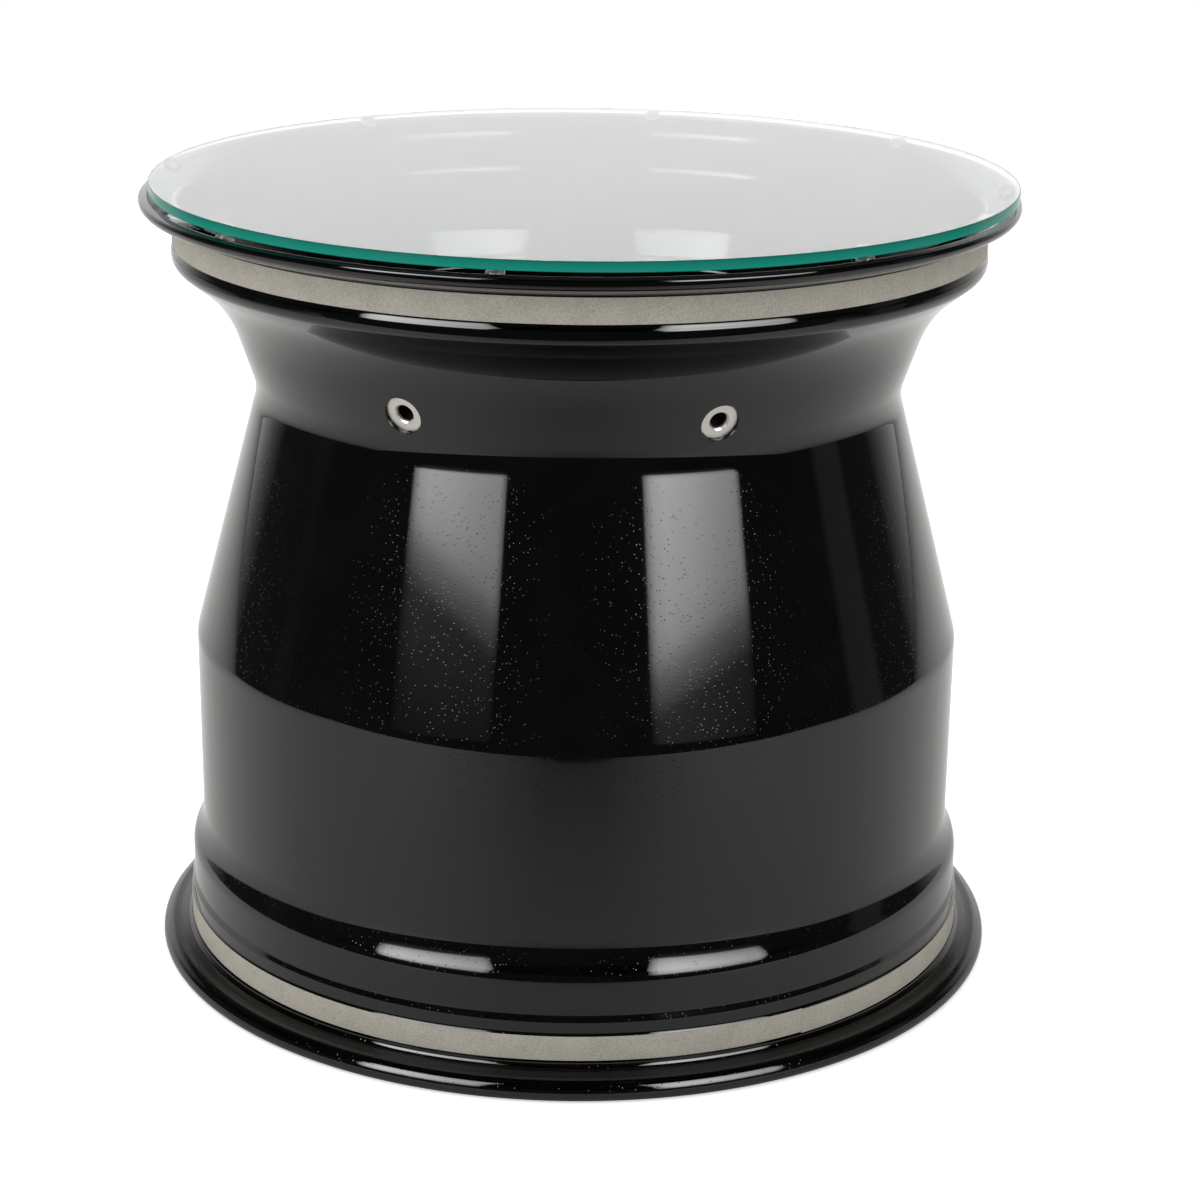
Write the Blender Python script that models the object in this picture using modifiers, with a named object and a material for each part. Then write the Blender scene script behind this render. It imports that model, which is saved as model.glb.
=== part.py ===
"""Side table made from a racing wheel rim that stands on its inner flange under a round glass plate.

The wheel's axis is +Z and the floor is z = 0. Heights named DEPTH are measured down from the upper
flange face, heights named HEIGHT are measured up from the floor.
"""

import math

import bmesh
import bpy
from mathutils import Matrix, Vector

MM = 0.001
CLEARANCE = 0.3 * MM

# Rim: a 13 by 12 inch racing wheel
SEAT_RADIUS = 165.1 * MM
RIM_WIDTH = 304.8 * MM
RIM_WALL = 4.6 * MM

# Flanges, alike at both ends
FLANGE_RISE = 12.4 * MM
FLANGE_THICKNESS = 7.6 * MM
FLANGE_LEAN = 0.9 * MM
FLANGE_FACE_WIDTH = 13.5 * MM
FLANGE_EDGE_ROUND = 1.3 * MM
FLANGE_LIP_THICKNESS = 4.2 * MM
FLANGE_LIP_ROUND = 3.2 * MM
FLANGE_SHELF_DROP = 7.0 * MM
FLANGE_SHELF_ROUND = 9.0 * MM
FLANGE_ROOT_ROUND = 2.2 * MM
MOUTH_DEPTH = 6.0 * MM
MOUTH_ROUND = 1.5 * MM

# Upper end of the rim: hump, flare and waist
UPPER_HUMP_DROP = 0.3 * MM
UPPER_HUMP_DEPTH = 26.9 * MM
UPPER_HUMP_ROUND = 5.0 * MM
UPPER_INNER_ROUND = 6.5 * MM
FLARE_DROP = 20.8 * MM
FLARE_DEPTH = 42.8 * MM
FLARE_ROUND = 50.0 * MM
NECK_DROP = 33.2 * MM
NECK_DEPTH = 79.4 * MM
NECK_ROUND = 20.0 * MM
INNER_GROOVE_RISE = 22.5 * MM
INNER_GROOVE_DEPTH = 0.8 * MM

# Lower end of the rim: shoulder, barrel and hump
SHOULDER_DROP = 5.8 * MM
SHOULDER_HEIGHT = 136.7 * MM
SHOULDER_ROUND = 15.0 * MM
BARREL_DROP = 6.2 * MM
BARREL_HEIGHT = 51.5 * MM
BARREL_ROUND = 18.5 * MM
LOWER_HUMP_DROP = 1.5 * MM
LOWER_HUMP_HEIGHT = 44.3 * MM
LOWER_HUMP_ROUND = 3.0 * MM
STEP_HEIGHT = 30.2 * MM
STEP_RUN = 2.7 * MM
STEP_DROP = 0.6 * MM

# Grit strips on the bead seats, each wound once in a shallow groove
BAND_THICKNESS = 0.6 * MM
BAND_SEAM_GAP = 0.5 * MM
UPPER_BAND_INSET = 9.4 * MM
UPPER_BAND_WIDTH = 10.0 * MM
UPPER_BAND_SEAM = 321.9
LOWER_BAND_INSET = 11.6 * MM
LOWER_BAND_WIDTH = 11.0 * MM
LOWER_BAND_SEAM = 303.0

# Valve holes with their spot faces, square to the flare
VALVE_RISE = 14.4 * MM
VALVE_HOLE_RADIUS = 4.0 * MM
VALVE_CHAMFER = 0.7 * MM
VALVE_FACE_RADIUS = 7.6 * MM
VALVE_FACE_SINK = 1.5 * MM
VALVE_CUT_LENGTH = 16.0 * MM

# Spoked centre, whose feet sit on a land inside the waist
SPOKES = 7
SPOKE_WIDTH = 22.0 * MM
FIRST_SPOKE_ANGLE = 267.0
LAND_WALL = 5.0 * MM
LAND_HEIGHT = 26.0 * MM
FOOT_HEIGHT = 22.0 * MM
FOOT_LENGTH = 9.0 * MM
HUB_DROP = 4.0 * MM
HUB_THICKNESS = 32.0 * MM
HUB_WALL = 4.7 * MM
HUB_ROUND = 3.0 * MM
WEB_STEP = 1.5 * MM
WEB_UNDERCUT = 8.0 * MM
WEB_ROUND = 8.0 * MM
WINDOW_MARGIN = 4.0 * MM
WINDOW_ROUND = 9.0 * MM
EDGE_ROUND = 1.2 * MM

# Pieces in the hub
BORE_RADIUS = 29.0 * MM
NUT_SEAT_WALL = 11.0 * MM
NUT_SEAT_DEPTH = 12.0 * MM
NUT_SEAT_LIP = 2.5 * MM
BUSH_RADIUS = 8.0 * MM
BUSH_BORE_RADIUS = 5.5 * MM
BUSH_RECESS = 0.8 * MM

# Glass plate and its pads
GLASS_INSET = 2.5 * MM
GLASS_THICKNESS = 4.0 * MM
GLASS_ARRIS = 0.5 * MM
GLASS_SHIFT = 1.6 * MM
PAD_RADIUS = 4.0 * MM
PAD_THICKNESS = 1.0 * MM
PAD_EDGE = 0.3 * MM
PAD_INSET = 6.2 * MM
PAD_ANGLES = (356, 36, 79, 124, 170, 220, 260, 307)

# Fineness of the facets
CHORD_ERROR = 0.3 * MM
RIM_SEGMENTS = 48
SMALL_SEGMENTS = 16

# Values that follow from those above
HEIGHT = RIM_WIDTH + 2 * FLANGE_THICKNESS
FLANGE_RADIUS = SEAT_RADIUS + FLANGE_RISE
MOUTH_RADIUS = FLANGE_RADIUS - FLANGE_FACE_WIDTH
GROOVE_RADIUS = SEAT_RADIUS - BAND_THICKNESS - CLEARANCE
UPPER_BAND_TOP = HEIGHT - UPPER_BAND_INSET
NECK_RADIUS = SEAT_RADIUS - NECK_DROP
NECK_HEIGHT = HEIGHT - NECK_DEPTH
LAND_RADIUS = NECK_RADIUS - LAND_WALL
FOOT_RADIUS = LAND_RADIUS - CLEARANCE
FOOT_INNER_RADIUS = FOOT_RADIUS - FOOT_LENGTH
NUT_POCKET_RADIUS = BORE_RADIUS + NUT_SEAT_WALL
BUSH_HOLE_RADIUS = BUSH_RADIUS + CLEARANCE
DRIVE_CIRCLE_RADIUS = NUT_POCKET_RADIUS + HUB_WALL + BUSH_HOLE_RADIUS
HUB_RADIUS = DRIVE_CIRCLE_RADIUS + BUSH_HOLE_RADIUS + HUB_WALL
HUB_TOP = NECK_HEIGHT - HUB_DROP
HUB_BOTTOM = HUB_TOP - HUB_THICKNESS
PITCH = 2 * math.pi / SPOKES
GLASS_BOTTOM = HEIGHT + PAD_THICKNESS + 2 * CLEARANCE
GLASS_RADIUS = FLANGE_RADIUS - GLASS_INSET


def clear_scene():
    for obj in list(bpy.data.objects):
        bpy.data.objects.remove(obj, do_unlink=True)


def new_collection(name):
    collection = bpy.data.collections.new(name)
    bpy.context.scene.collection.children.link(collection)
    return collection


def material(name, colour, roughness, metallic=0.0, transmission=0.0):
    made = bpy.data.materials.new(name)
    made.use_nodes = True
    shader = made.node_tree.nodes["Principled BSDF"]
    shader.inputs["Base Color"].default_value = (*colour, 1.0)
    shader.inputs["Roughness"].default_value = roughness
    shader.inputs["Metallic"].default_value = metallic
    shader.inputs["Transmission Weight"].default_value = transmission
    return made


def add_object(name, mesh, collection, finish=None):
    obj = bpy.data.objects.new(name, mesh)
    collection.objects.link(obj)
    if finish and not mesh.materials:
        mesh.materials.append(finish)
    return obj


def as_cutter(obj):
    obj.hide_render = True
    obj.display_type = "WIRE"
    return obj


def cut(obj, cutter):
    modifier = obj.modifiers.new("cut_" + cutter.name, "BOOLEAN")
    modifier.operation = "DIFFERENCE"
    modifier.solver = "EXACT"
    modifier.object = cutter


def line_cross(a, b, c, d):
    """The point where the line through a and b meets the line through c and d."""
    along = b - a
    across = d - c
    share = (c - a).cross(across) / along.cross(across)
    return a + along * share


def inset(path, wall):
    """A path moved sideways by wall, to the right of its direction."""
    moved = []
    for start, end in zip(path, path[1:]):
        along = (end - start).normalized()
        shift = Vector((along.y, -along.x)) * wall
        moved.append((start + shift, end + shift))
    middle = [line_cross(*one, *two) for one, two in zip(moved, moved[1:])]
    return [moved[0][0], *middle, moved[-1][1]]


def corner_arc(before, corner, after, radius):
    """Points of the arc that rounds a corner, fine enough for CHORD_ERROR."""
    to_before = (before - corner).normalized()
    to_after = (after - corner).normalized()
    opening = to_before.angle(to_after)
    turn = math.pi - opening
    reach = radius / math.tan(opening / 2)
    centre = corner + (to_before + to_after).normalized() * (radius / math.sin(opening / 2))
    first = corner + to_before * reach - centre
    side = math.copysign(1.0, (corner - before).cross(after - corner))
    finest = 2 * math.acos(max(0.0, 1 - CHORD_ERROR / radius))
    steps = max(1, math.ceil(turn / finest))
    points = []
    for step in range(steps + 1):
        angle = side * turn * step / steps
        spun = Matrix.Rotation(angle, 2) @ first
        points.append(centre + spun)
    return points


def rounded(corners):
    """A closed outline from (x, y, round) corners."""
    places = [Vector(corner[:2]) for corner in corners]
    outline = []
    for index, corner in enumerate(corners):
        before = places[index - 1]
        after = places[(index + 1) % len(places)]
        if corner[2] > 0:
            outline.extend(corner_arc(before, places[index], after, corner[2]))
        else:
            outline.append(places[index])
    return outline


def turned(name, outline, segments, collection, finish=None, closed=True):
    """A solid of revolution about Z. The outline is (radius, height) and runs down its outer side."""
    mesh = bpy.data.meshes.new(name)
    points = [(point[0], 0.0, point[1]) for point in outline]
    edges = [(index, index + 1) for index in range(len(points) - 1)]
    if closed:
        edges.append((len(points) - 1, 0))
    mesh.from_pydata(points, edges, [])
    obj = add_object(name, mesh, collection, finish)
    screw = obj.modifiers.new("turn", "SCREW")
    screw.axis = "Z"
    screw.angle = 2 * math.pi
    screw.steps = segments
    screw.render_steps = segments
    screw.use_merge_vertices = True
    screw.merge_threshold = 0.01 * MM
    screw.use_smooth_shade = True
    return obj


def disc_mesh(name, radius, thickness, segments, finish):
    """A flat round plate standing on z = 0."""
    mesh = bpy.data.meshes.new(name)
    form = bmesh.new()
    lift = Matrix.Translation((0, 0, thickness / 2))
    bmesh.ops.create_cone(
        form,
        cap_ends=True,
        segments=segments,
        radius1=radius,
        radius2=radius,
        depth=thickness,
        matrix=lift,
    )
    form.to_mesh(mesh)
    form.free()
    mesh.shade_smooth()
    mesh.set_sharp_from_angle(angle=math.radians(40))
    mesh.materials.append(finish)
    return mesh


def soften_edges(obj, width):
    bevel = obj.modifiers.new("edge", "BEVEL")
    bevel.width = width
    bevel.segments = 1
    bevel.limit_method = "ANGLE"
    bevel.angle_limit = math.radians(40)


def prism_mesh(name, outline, thickness):
    """A closed mesh of a flat outline, extruded evenly to both sides of z = 0."""
    curve = bpy.data.curves.new(name, "CURVE")
    curve.dimensions = "2D"
    curve.fill_mode = "BOTH"
    curve.extrude = thickness / 2
    spline = curve.splines.new("POLY")
    spline.points.add(len(outline) - 1)
    for place, point in zip(spline.points, outline):
        place.co = (point[0], point[1], 0.0, 1.0)
    spline.use_cyclic_u = True
    guide = add_object(name + "_outline", curve, bpy.context.scene.collection)
    graph = bpy.context.evaluated_depsgraph_get()
    mesh = bpy.data.meshes.new_from_object(guide.evaluated_get(graph))
    bpy.data.objects.remove(guide, do_unlink=True)
    form = bmesh.new()
    form.from_mesh(mesh)
    bmesh.ops.remove_doubles(form, verts=form.verts, dist=0.001 * MM)
    bmesh.ops.recalc_face_normals(form, faces=form.faces)
    form.to_mesh(mesh)
    form.free()
    return mesh


def around(angle, radius, height):
    return Vector((radius * math.cos(angle), radius * math.sin(angle), height))


def rim_skin():
    """Corners of the rim's outer line between its bead seats, from the top down, with their rounds."""
    return [
        (SEAT_RADIUS - UPPER_HUMP_DROP, HEIGHT - UPPER_HUMP_DEPTH, UPPER_HUMP_ROUND),
        (SEAT_RADIUS - FLARE_DROP, HEIGHT - FLARE_DEPTH, FLARE_ROUND),
        (NECK_RADIUS, NECK_HEIGHT, NECK_ROUND),
        (SEAT_RADIUS - SHOULDER_DROP, SHOULDER_HEIGHT, SHOULDER_ROUND),
        (SEAT_RADIUS - BARREL_DROP, BARREL_HEIGHT, BARREL_ROUND),
        (SEAT_RADIUS - LOWER_HUMP_DROP, LOWER_HUMP_HEIGHT, LOWER_HUMP_ROUND),
    ]


def flange_corners(face, inward):
    """One flange from its flat face to its root. Inward is the sign of the way to the bead seat."""
    lip = face + inward * FLANGE_LIP_THICKNESS
    shelf = face + inward * (FLANGE_THICKNESS - FLANGE_LEAN / 2)
    root = face + inward * (FLANGE_THICKNESS + FLANGE_LEAN / 2)
    return [
        (FLANGE_RADIUS, face, FLANGE_EDGE_ROUND),
        (FLANGE_RADIUS, lip, FLANGE_LIP_ROUND),
        (FLANGE_RADIUS - FLANGE_SHELF_DROP, shelf, FLANGE_SHELF_ROUND),
        (SEAT_RADIUS, root, FLANGE_ROOT_ROUND),
    ]


def groove_corners(face, inward, band_inset, band_width):
    """The shallow groove that a grit strip lies in, from its flange side on."""
    near = face + inward * (band_inset - CLEARANCE)
    far = face + inward * (band_inset + band_width + CLEARANCE)
    return [
        (SEAT_RADIUS, near, 0),
        (GROOVE_RADIUS, near, 0),
        (GROOVE_RADIUS, far, 0),
    ]


def rim_outer_corners():
    upper_far = HEIGHT - UPPER_BAND_INSET - UPPER_BAND_WIDTH - CLEARANCE
    lower_far = LOWER_BAND_INSET + LOWER_BAND_WIDTH + CLEARANCE
    upper = flange_corners(HEIGHT, -1) + groove_corners(HEIGHT, -1, UPPER_BAND_INSET, UPPER_BAND_WIDTH)
    lower = flange_corners(0.0, 1) + groove_corners(0.0, 1, LOWER_BAND_INSET, LOWER_BAND_WIDTH)
    upper_end = [(SEAT_RADIUS - UPPER_HUMP_DROP, upper_far, 0)]
    step = [
        (SEAT_RADIUS - LOWER_HUMP_DROP, STEP_HEIGHT, 0),
        (SEAT_RADIUS - STEP_DROP, STEP_HEIGHT - STEP_RUN, 0),
        (SEAT_RADIUS - STEP_DROP, lower_far, 0),
    ]
    return upper + upper_end + rim_skin() + step + lower[::-1]


def rim_inner_corners():
    """The rim's inner line from the bottom up: the outer line moved in by the wall, with the land."""
    seat_inner = SEAT_RADIUS - RIM_WALL
    skin = [Vector(corner[:2]) for corner in rim_skin()]
    path = [Vector((SEAT_RADIUS, HEIGHT)), *skin, Vector((SEAT_RADIUS, 0.0))]
    hump, flare, neck, shoulder, barrel, lower_hump = inset(path, RIM_WALL)[1:-1]
    land_top = Vector((LAND_RADIUS, NECK_HEIGHT + LAND_HEIGHT / 2))
    land_bottom = Vector((LAND_RADIUS, NECK_HEIGHT - LAND_HEIGHT / 2))
    slope_up = Vector((1.0, 1.0))
    slope_down = Vector((1.0, -1.0))
    above = line_cross(land_top, land_top + slope_up, neck, flare)
    below = line_cross(land_bottom, land_bottom + slope_down, neck, shoulder)
    up_flare = (flare - neck).normalized()
    groove = neck + up_flare * INNER_GROOVE_RISE
    groove_floor = groove + Vector((up_flare.y, -up_flare.x)) * INNER_GROOVE_DEPTH
    groove_bottom = groove - up_flare * INNER_GROOVE_DEPTH
    groove_top = groove + up_flare * INNER_GROOVE_DEPTH
    return [
        (MOUTH_RADIUS, 0.0, MOUTH_ROUND),
        (seat_inner, MOUTH_DEPTH, 0),
        (lower_hump.x, lower_hump.y, LOWER_HUMP_ROUND),
        (barrel.x, barrel.y, BARREL_ROUND),
        (shoulder.x, shoulder.y, SHOULDER_ROUND),
        (below.x, below.y, 0),
        (land_bottom.x, land_bottom.y, 0),
        (land_top.x, land_top.y, 0),
        (above.x, above.y, 0),
        (groove_bottom.x, groove_bottom.y, 0),
        (groove_floor.x, groove_floor.y, 0),
        (groove_top.x, groove_top.y, 0),
        (flare.x, flare.y, FLARE_ROUND),
        (hump.x, hump.y, UPPER_INNER_ROUND),
        (seat_inner, HEIGHT - MOUTH_DEPTH, UPPER_INNER_ROUND),
        (MOUTH_RADIUS, HEIGHT, MOUTH_ROUND),
    ]


def valve_axis(angle):
    """Where a valve hole meets the flare, and the flare's outward direction there."""
    flare = Vector((SEAT_RADIUS - FLARE_DROP, HEIGHT - FLARE_DEPTH))
    neck = Vector((NECK_RADIUS, NECK_HEIGHT))
    slope = (flare - neck).normalized()
    place = neck + slope * (VALVE_RISE / slope.y)
    outward = Vector((slope.y, -slope.x))
    return around(angle, place.x, place.y), around(angle, outward.x, outward.y)


def valve_cutter(name, angle, cutters):
    """The spot face, its chamfer and the through hole in one stepped plug."""
    outline = [
        (0.0, VALVE_FACE_RADIUS),
        (VALVE_FACE_RADIUS, VALVE_FACE_RADIUS),
        (VALVE_FACE_RADIUS, -VALVE_FACE_SINK),
        (VALVE_HOLE_RADIUS + VALVE_CHAMFER, -VALVE_FACE_SINK),
        (VALVE_HOLE_RADIUS, -VALVE_FACE_SINK - VALVE_CHAMFER),
        (VALVE_HOLE_RADIUS, -VALVE_CUT_LENGTH),
        (0.0, -VALVE_CUT_LENGTH),
    ]
    plug = as_cutter(turned(name, outline, SMALL_SEGMENTS, cutters, closed=False))
    place, outward = valve_axis(angle)
    plug.location = place
    plug.rotation_mode = "QUATERNION"
    plug.rotation_quaternion = outward.to_track_quat("Z", "Y")
    return plug


def build_rim(table, cutters, paint):
    outline = rounded(rim_outer_corners() + rim_inner_corners())
    rim = turned("rim_barrel", outline, RIM_SEGMENTS, table, paint)
    first_spoke = math.radians(FIRST_SPOKE_ANGLE)
    for side in (-1, 1):
        name = "valve_plug_" + ("left" if side < 0 else "right")
        cut(rim, valve_cutter(name, first_spoke + side * PITCH / 2, cutters))


def build_band(name, edges, seam, table, cutters, grit):
    """A strip wound once round its bead seat, with a gap where its two ends meet."""
    low, high = sorted(edges)
    inner = GROOVE_RADIUS + CLEARANCE
    outline = [(SEAT_RADIUS, high), (SEAT_RADIUS, low), (inner, low), (inner, high)]
    band = turned(name, outline, RIM_SEGMENTS, table, grit)
    length = 4 * BAND_THICKNESS
    seam_mesh = bpy.data.meshes.new(name + "_seam")
    form = bmesh.new()
    size = Matrix.Diagonal((length, BAND_SEAM_GAP, 2 * (high - low), 1.0))
    bmesh.ops.create_cube(form, size=1.0, matrix=size)
    form.to_mesh(seam_mesh)
    form.free()
    knife = as_cutter(add_object(name + "_seam", seam_mesh, cutters))
    knife.location = around(math.radians(seam), SEAT_RADIUS, (low + high) / 2)
    knife.rotation_euler.z = math.radians(seam)
    cut(band, knife)


def centre_corners():
    """The turned blank of the centre: foot ring, dished web, hub and the pocket of the nut seat."""
    foot_top = NECK_HEIGHT + FOOT_HEIGHT / 2
    foot_bottom = NECK_HEIGHT - FOOT_HEIGHT / 2
    pocket_floor = HUB_TOP - NUT_SEAT_DEPTH - CLEARANCE
    return [
        (FOOT_RADIUS, foot_top, EDGE_ROUND),
        (FOOT_RADIUS, foot_bottom, EDGE_ROUND),
        (FOOT_INNER_RADIUS, foot_bottom, WEB_ROUND),
        (HUB_RADIUS, HUB_BOTTOM + WEB_UNDERCUT, HUB_ROUND),
        (HUB_RADIUS, HUB_BOTTOM, HUB_ROUND),
        (BORE_RADIUS, HUB_BOTTOM, EDGE_ROUND),
        (BORE_RADIUS, pocket_floor, 0),
        (NUT_POCKET_RADIUS, pocket_floor, 0),
        (NUT_POCKET_RADIUS, HUB_TOP, 0),
        (HUB_RADIUS, HUB_TOP, HUB_ROUND),
        (HUB_RADIUS + WEB_STEP, HUB_TOP - WEB_STEP, 0),
        (FOOT_INNER_RADIUS, foot_top - WEB_STEP, WEB_ROUND),
        (FOOT_INNER_RADIUS + WEB_STEP, foot_top, 0),
    ]


def window_outline():
    """One gap between two spokes, centred on +X and open outwards: its outer edge is clear of the blank."""
    half = PITCH / 2
    inner = HUB_RADIUS + WINDOW_MARGIN
    outer = FOOT_RADIUS / math.cos(half)
    corners = []
    for side, radius, rounding in (
        (-1, outer, 0),
        (1, outer, 0),
        (1, inner, WINDOW_ROUND),
        (-1, inner, WINDOW_ROUND),
    ):
        beside_spoke = half - math.asin(SPOKE_WIDTH / 2 / radius)
        point = around(side * beside_spoke, radius, 0)
        corners.append((point.x, point.y, rounding))
    return rounded(corners)


def build_centre(table, cutters, paint):
    centre = turned("wheel_centre", rounded(centre_corners()), RIM_SEGMENTS, table, paint)
    depth = 4 * HUB_THICKNESS
    window_mesh = prism_mesh("window", window_outline(), depth)
    bush_outline = [
        (0.0, depth / 2),
        (BUSH_HOLE_RADIUS, depth / 2),
        (BUSH_HOLE_RADIUS, -depth / 2),
        (0.0, -depth / 2),
    ]
    for index in range(SPOKES):
        spoke = math.radians(FIRST_SPOKE_ANGLE) + index * PITCH
        window = as_cutter(add_object(f"window_{index + 1}", window_mesh, cutters))
        window.location.z = HUB_TOP
        window.rotation_euler.z = spoke + PITCH / 2
        cut(centre, window)
        drill = as_cutter(turned(f"drill_{index + 1}", bush_outline, SMALL_SEGMENTS, cutters, closed=False))
        drill.location = around(spoke, DRIVE_CIRCLE_RADIUS, HUB_TOP)
        cut(centre, drill)


def build_hub_pieces(table, steel):
    seat_bottom = HUB_TOP - NUT_SEAT_DEPTH
    outer = NUT_POCKET_RADIUS - CLEARANCE
    seat_outline = [
        (outer, HUB_TOP),
        (outer, seat_bottom),
        (BORE_RADIUS, seat_bottom),
        (outer - NUT_SEAT_LIP, HUB_TOP),
    ]
    turned("nut_seat_ring", seat_outline, RIM_SEGMENTS, table, steel)
    bush_outline = [
        (BUSH_RADIUS, HUB_TOP - BUSH_RECESS),
        (BUSH_RADIUS, HUB_BOTTOM + BUSH_RECESS),
        (BUSH_BORE_RADIUS, HUB_BOTTOM + BUSH_RECESS),
        (BUSH_BORE_RADIUS, HUB_TOP - BUSH_RECESS),
    ]
    for index in range(SPOKES):
        bush = turned(f"drive_bush_{index + 1}", bush_outline, SMALL_SEGMENTS, table, steel)
        spoke = math.radians(FIRST_SPOKE_ANGLE) + index * PITCH
        bush.location = around(spoke, DRIVE_CIRCLE_RADIUS, 0.0)


def build_pads(table, silicone):
    mesh = disc_mesh("bumper_pad", PAD_RADIUS, PAD_THICKNESS, SMALL_SEGMENTS, silicone)
    for index, angle in enumerate(PAD_ANGLES):
        pad = add_object(f"bumper_pad_{index + 1}", mesh, table)
        pad.location = around(math.radians(angle), FLANGE_RADIUS - PAD_INSET, HEIGHT + CLEARANCE)
        soften_edges(pad, PAD_EDGE)


def build_glass(table, glass):
    mesh = disc_mesh("glass_top", GLASS_RADIUS, GLASS_THICKNESS, RIM_SEGMENTS, glass)
    plate = add_object("glass_top", mesh, table)
    plate.location = (GLASS_SHIFT, 0.0, GLASS_BOTTOM)
    soften_edges(plate, GLASS_ARRIS)


def main():
    clear_scene()
    table = new_collection("wheel_rim_table")
    cutters = new_collection("cutters")
    paint = material("gloss_black_paint", (0.012, 0.012, 0.013), 0.06)
    grit = material("grit_strip", (0.36, 0.35, 0.31), 0.85)
    steel = material("bare_steel", (0.55, 0.54, 0.52), 0.3, metallic=1.0)
    silicone = material("clear_silicone", (0.9, 0.9, 0.88), 0.15, transmission=0.8)
    glass = material("green_edge_glass", (0.75, 0.92, 0.88), 0.02, transmission=1.0)
    build_rim(table, cutters, paint)
    build_centre(table, cutters, paint)
    build_hub_pieces(table, steel)
    upper_edges = (UPPER_BAND_TOP, UPPER_BAND_TOP - UPPER_BAND_WIDTH)
    lower_edges = (LOWER_BAND_INSET, LOWER_BAND_INSET + LOWER_BAND_WIDTH)
    build_band("upper_grip_band", upper_edges, UPPER_BAND_SEAM, table, cutters, grit)
    build_band("lower_grip_band", lower_edges, LOWER_BAND_SEAM, table, cutters, grit)
    build_pads(table, silicone)
    build_glass(table, glass)


main()
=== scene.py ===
"""Dressed scene of the wheel rim table: fine surfaces, finishes, studio light and camera.

All pieces are built in the part's frame, in metres: the wheel's axis is +Z, the floor is z = 0 and the
photographed side faces -Y. In the sections on flanges and ends, a DEPTH is measured down from the upper
flange face, a HEIGHT up from the floor and a DROP towards the axis.
"""

import math

import bmesh
import bpy
from mathutils import Matrix, Vector, noise


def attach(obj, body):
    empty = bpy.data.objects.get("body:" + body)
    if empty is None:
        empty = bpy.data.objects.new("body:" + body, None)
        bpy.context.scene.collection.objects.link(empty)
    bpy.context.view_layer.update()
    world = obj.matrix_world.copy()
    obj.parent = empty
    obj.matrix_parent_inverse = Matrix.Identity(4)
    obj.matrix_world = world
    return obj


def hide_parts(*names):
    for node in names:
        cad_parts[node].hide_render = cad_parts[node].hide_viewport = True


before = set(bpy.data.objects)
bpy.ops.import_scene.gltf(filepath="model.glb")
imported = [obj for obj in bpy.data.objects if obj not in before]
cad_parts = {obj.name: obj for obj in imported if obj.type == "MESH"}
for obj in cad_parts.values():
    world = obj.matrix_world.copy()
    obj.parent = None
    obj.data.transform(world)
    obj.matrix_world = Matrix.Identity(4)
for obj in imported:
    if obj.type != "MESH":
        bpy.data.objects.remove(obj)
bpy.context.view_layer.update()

MM = 0.001
CLEARANCE = 0.3 * MM
TOUCH = 0.05 * MM

# Rim
SEAT_RADIUS = 165.1 * MM
RIM_WIDTH = 304.8 * MM
RIM_WALL = 4.6 * MM

# Flanges
FLANGE_RISE = 12.4 * MM
FLANGE_THICKNESS = 7.6 * MM
UPPER_MOUTH_DEPTH = 4.0 * MM
UPPER_CREST_INSET = 3.2 * MM
UPPER_CREST_ROUND = 1.5 * MM
UPPER_EDGE_DEPTH = 0.8 * MM
UPPER_EDGE_ROUND = 1.0 * MM
UPPER_LIP_DEPTH = 4.2 * MM
UPPER_LIP_ROUND = 3.2 * MM
UPPER_SHELF_DROP = 7.0 * MM
UPPER_SHELF_DEPTH = 7.15 * MM
UPPER_SHELF_ROUND = 9.0 * MM
UPPER_ROOT_DEPTH = 8.05 * MM
UPPER_ROOT_ROUND = 1.3 * MM
LOWER_FACE_WIDTH = 13.5 * MM
LOWER_MOUTH_HEIGHT = 6.0 * MM
LOWER_MOUTH_ROUND = 1.5 * MM
LOWER_EDGE_ROUND = 2.8 * MM
LOWER_LIP_HEIGHT = 7.7 * MM
LOWER_LIP_ROUND = 5.0 * MM
LOWER_SHELF_DROP = 7.2 * MM
LOWER_SHELF_HEIGHT = 8.0 * MM
LOWER_ROOT_HEIGHT = 8.9 * MM
LOWER_ROOT_ROUND = 2.6 * MM

# Upper end of the rim: hump, flare and waist
BARE_SEAT_WIDTH = 0.6 * MM
UPPER_HUMP_RISE = 0.05 * MM
UPPER_HUMP_RUN = 1.55 * MM
UPPER_HUMP_RUN_ROUND = 1.6 * MM
UPPER_HUMP_DEPTH = 26.3 * MM
UPPER_HUMP_ROUND = 5.0 * MM
UPPER_INNER_ROUND = 6.5 * MM
FLARE_DROP = 20.8 * MM
FLARE_DEPTH = 42.8 * MM
FLARE_ROUND = 50.0 * MM
NECK_DROP = 33.2 * MM
NECK_DEPTH = 79.4 * MM
NECK_ROUND = 20.0 * MM
INNER_GROOVE_RISE = 22.5 * MM
INNER_GROOVE_SINK = 0.8 * MM

# Lower end of the rim: shoulder, barrel and hump
SHOULDER_DROP = 5.8 * MM
SHOULDER_HEIGHT = 136.7 * MM
SHOULDER_ROUND = 15.0 * MM
BARREL_DROP = 6.2 * MM
BARREL_HEIGHT = 53.0 * MM
BARREL_ROUND = 22.5 * MM
LOWER_HUMP_DROP = 1.5 * MM
LOWER_HUMP_HEIGHT = 45.2 * MM
LOWER_HUMP_ROUND = 10.0 * MM
STEP_HEIGHT = 30.2 * MM
STEP_RUN = 2.7 * MM
STEP_DROP = 0.6 * MM

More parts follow.
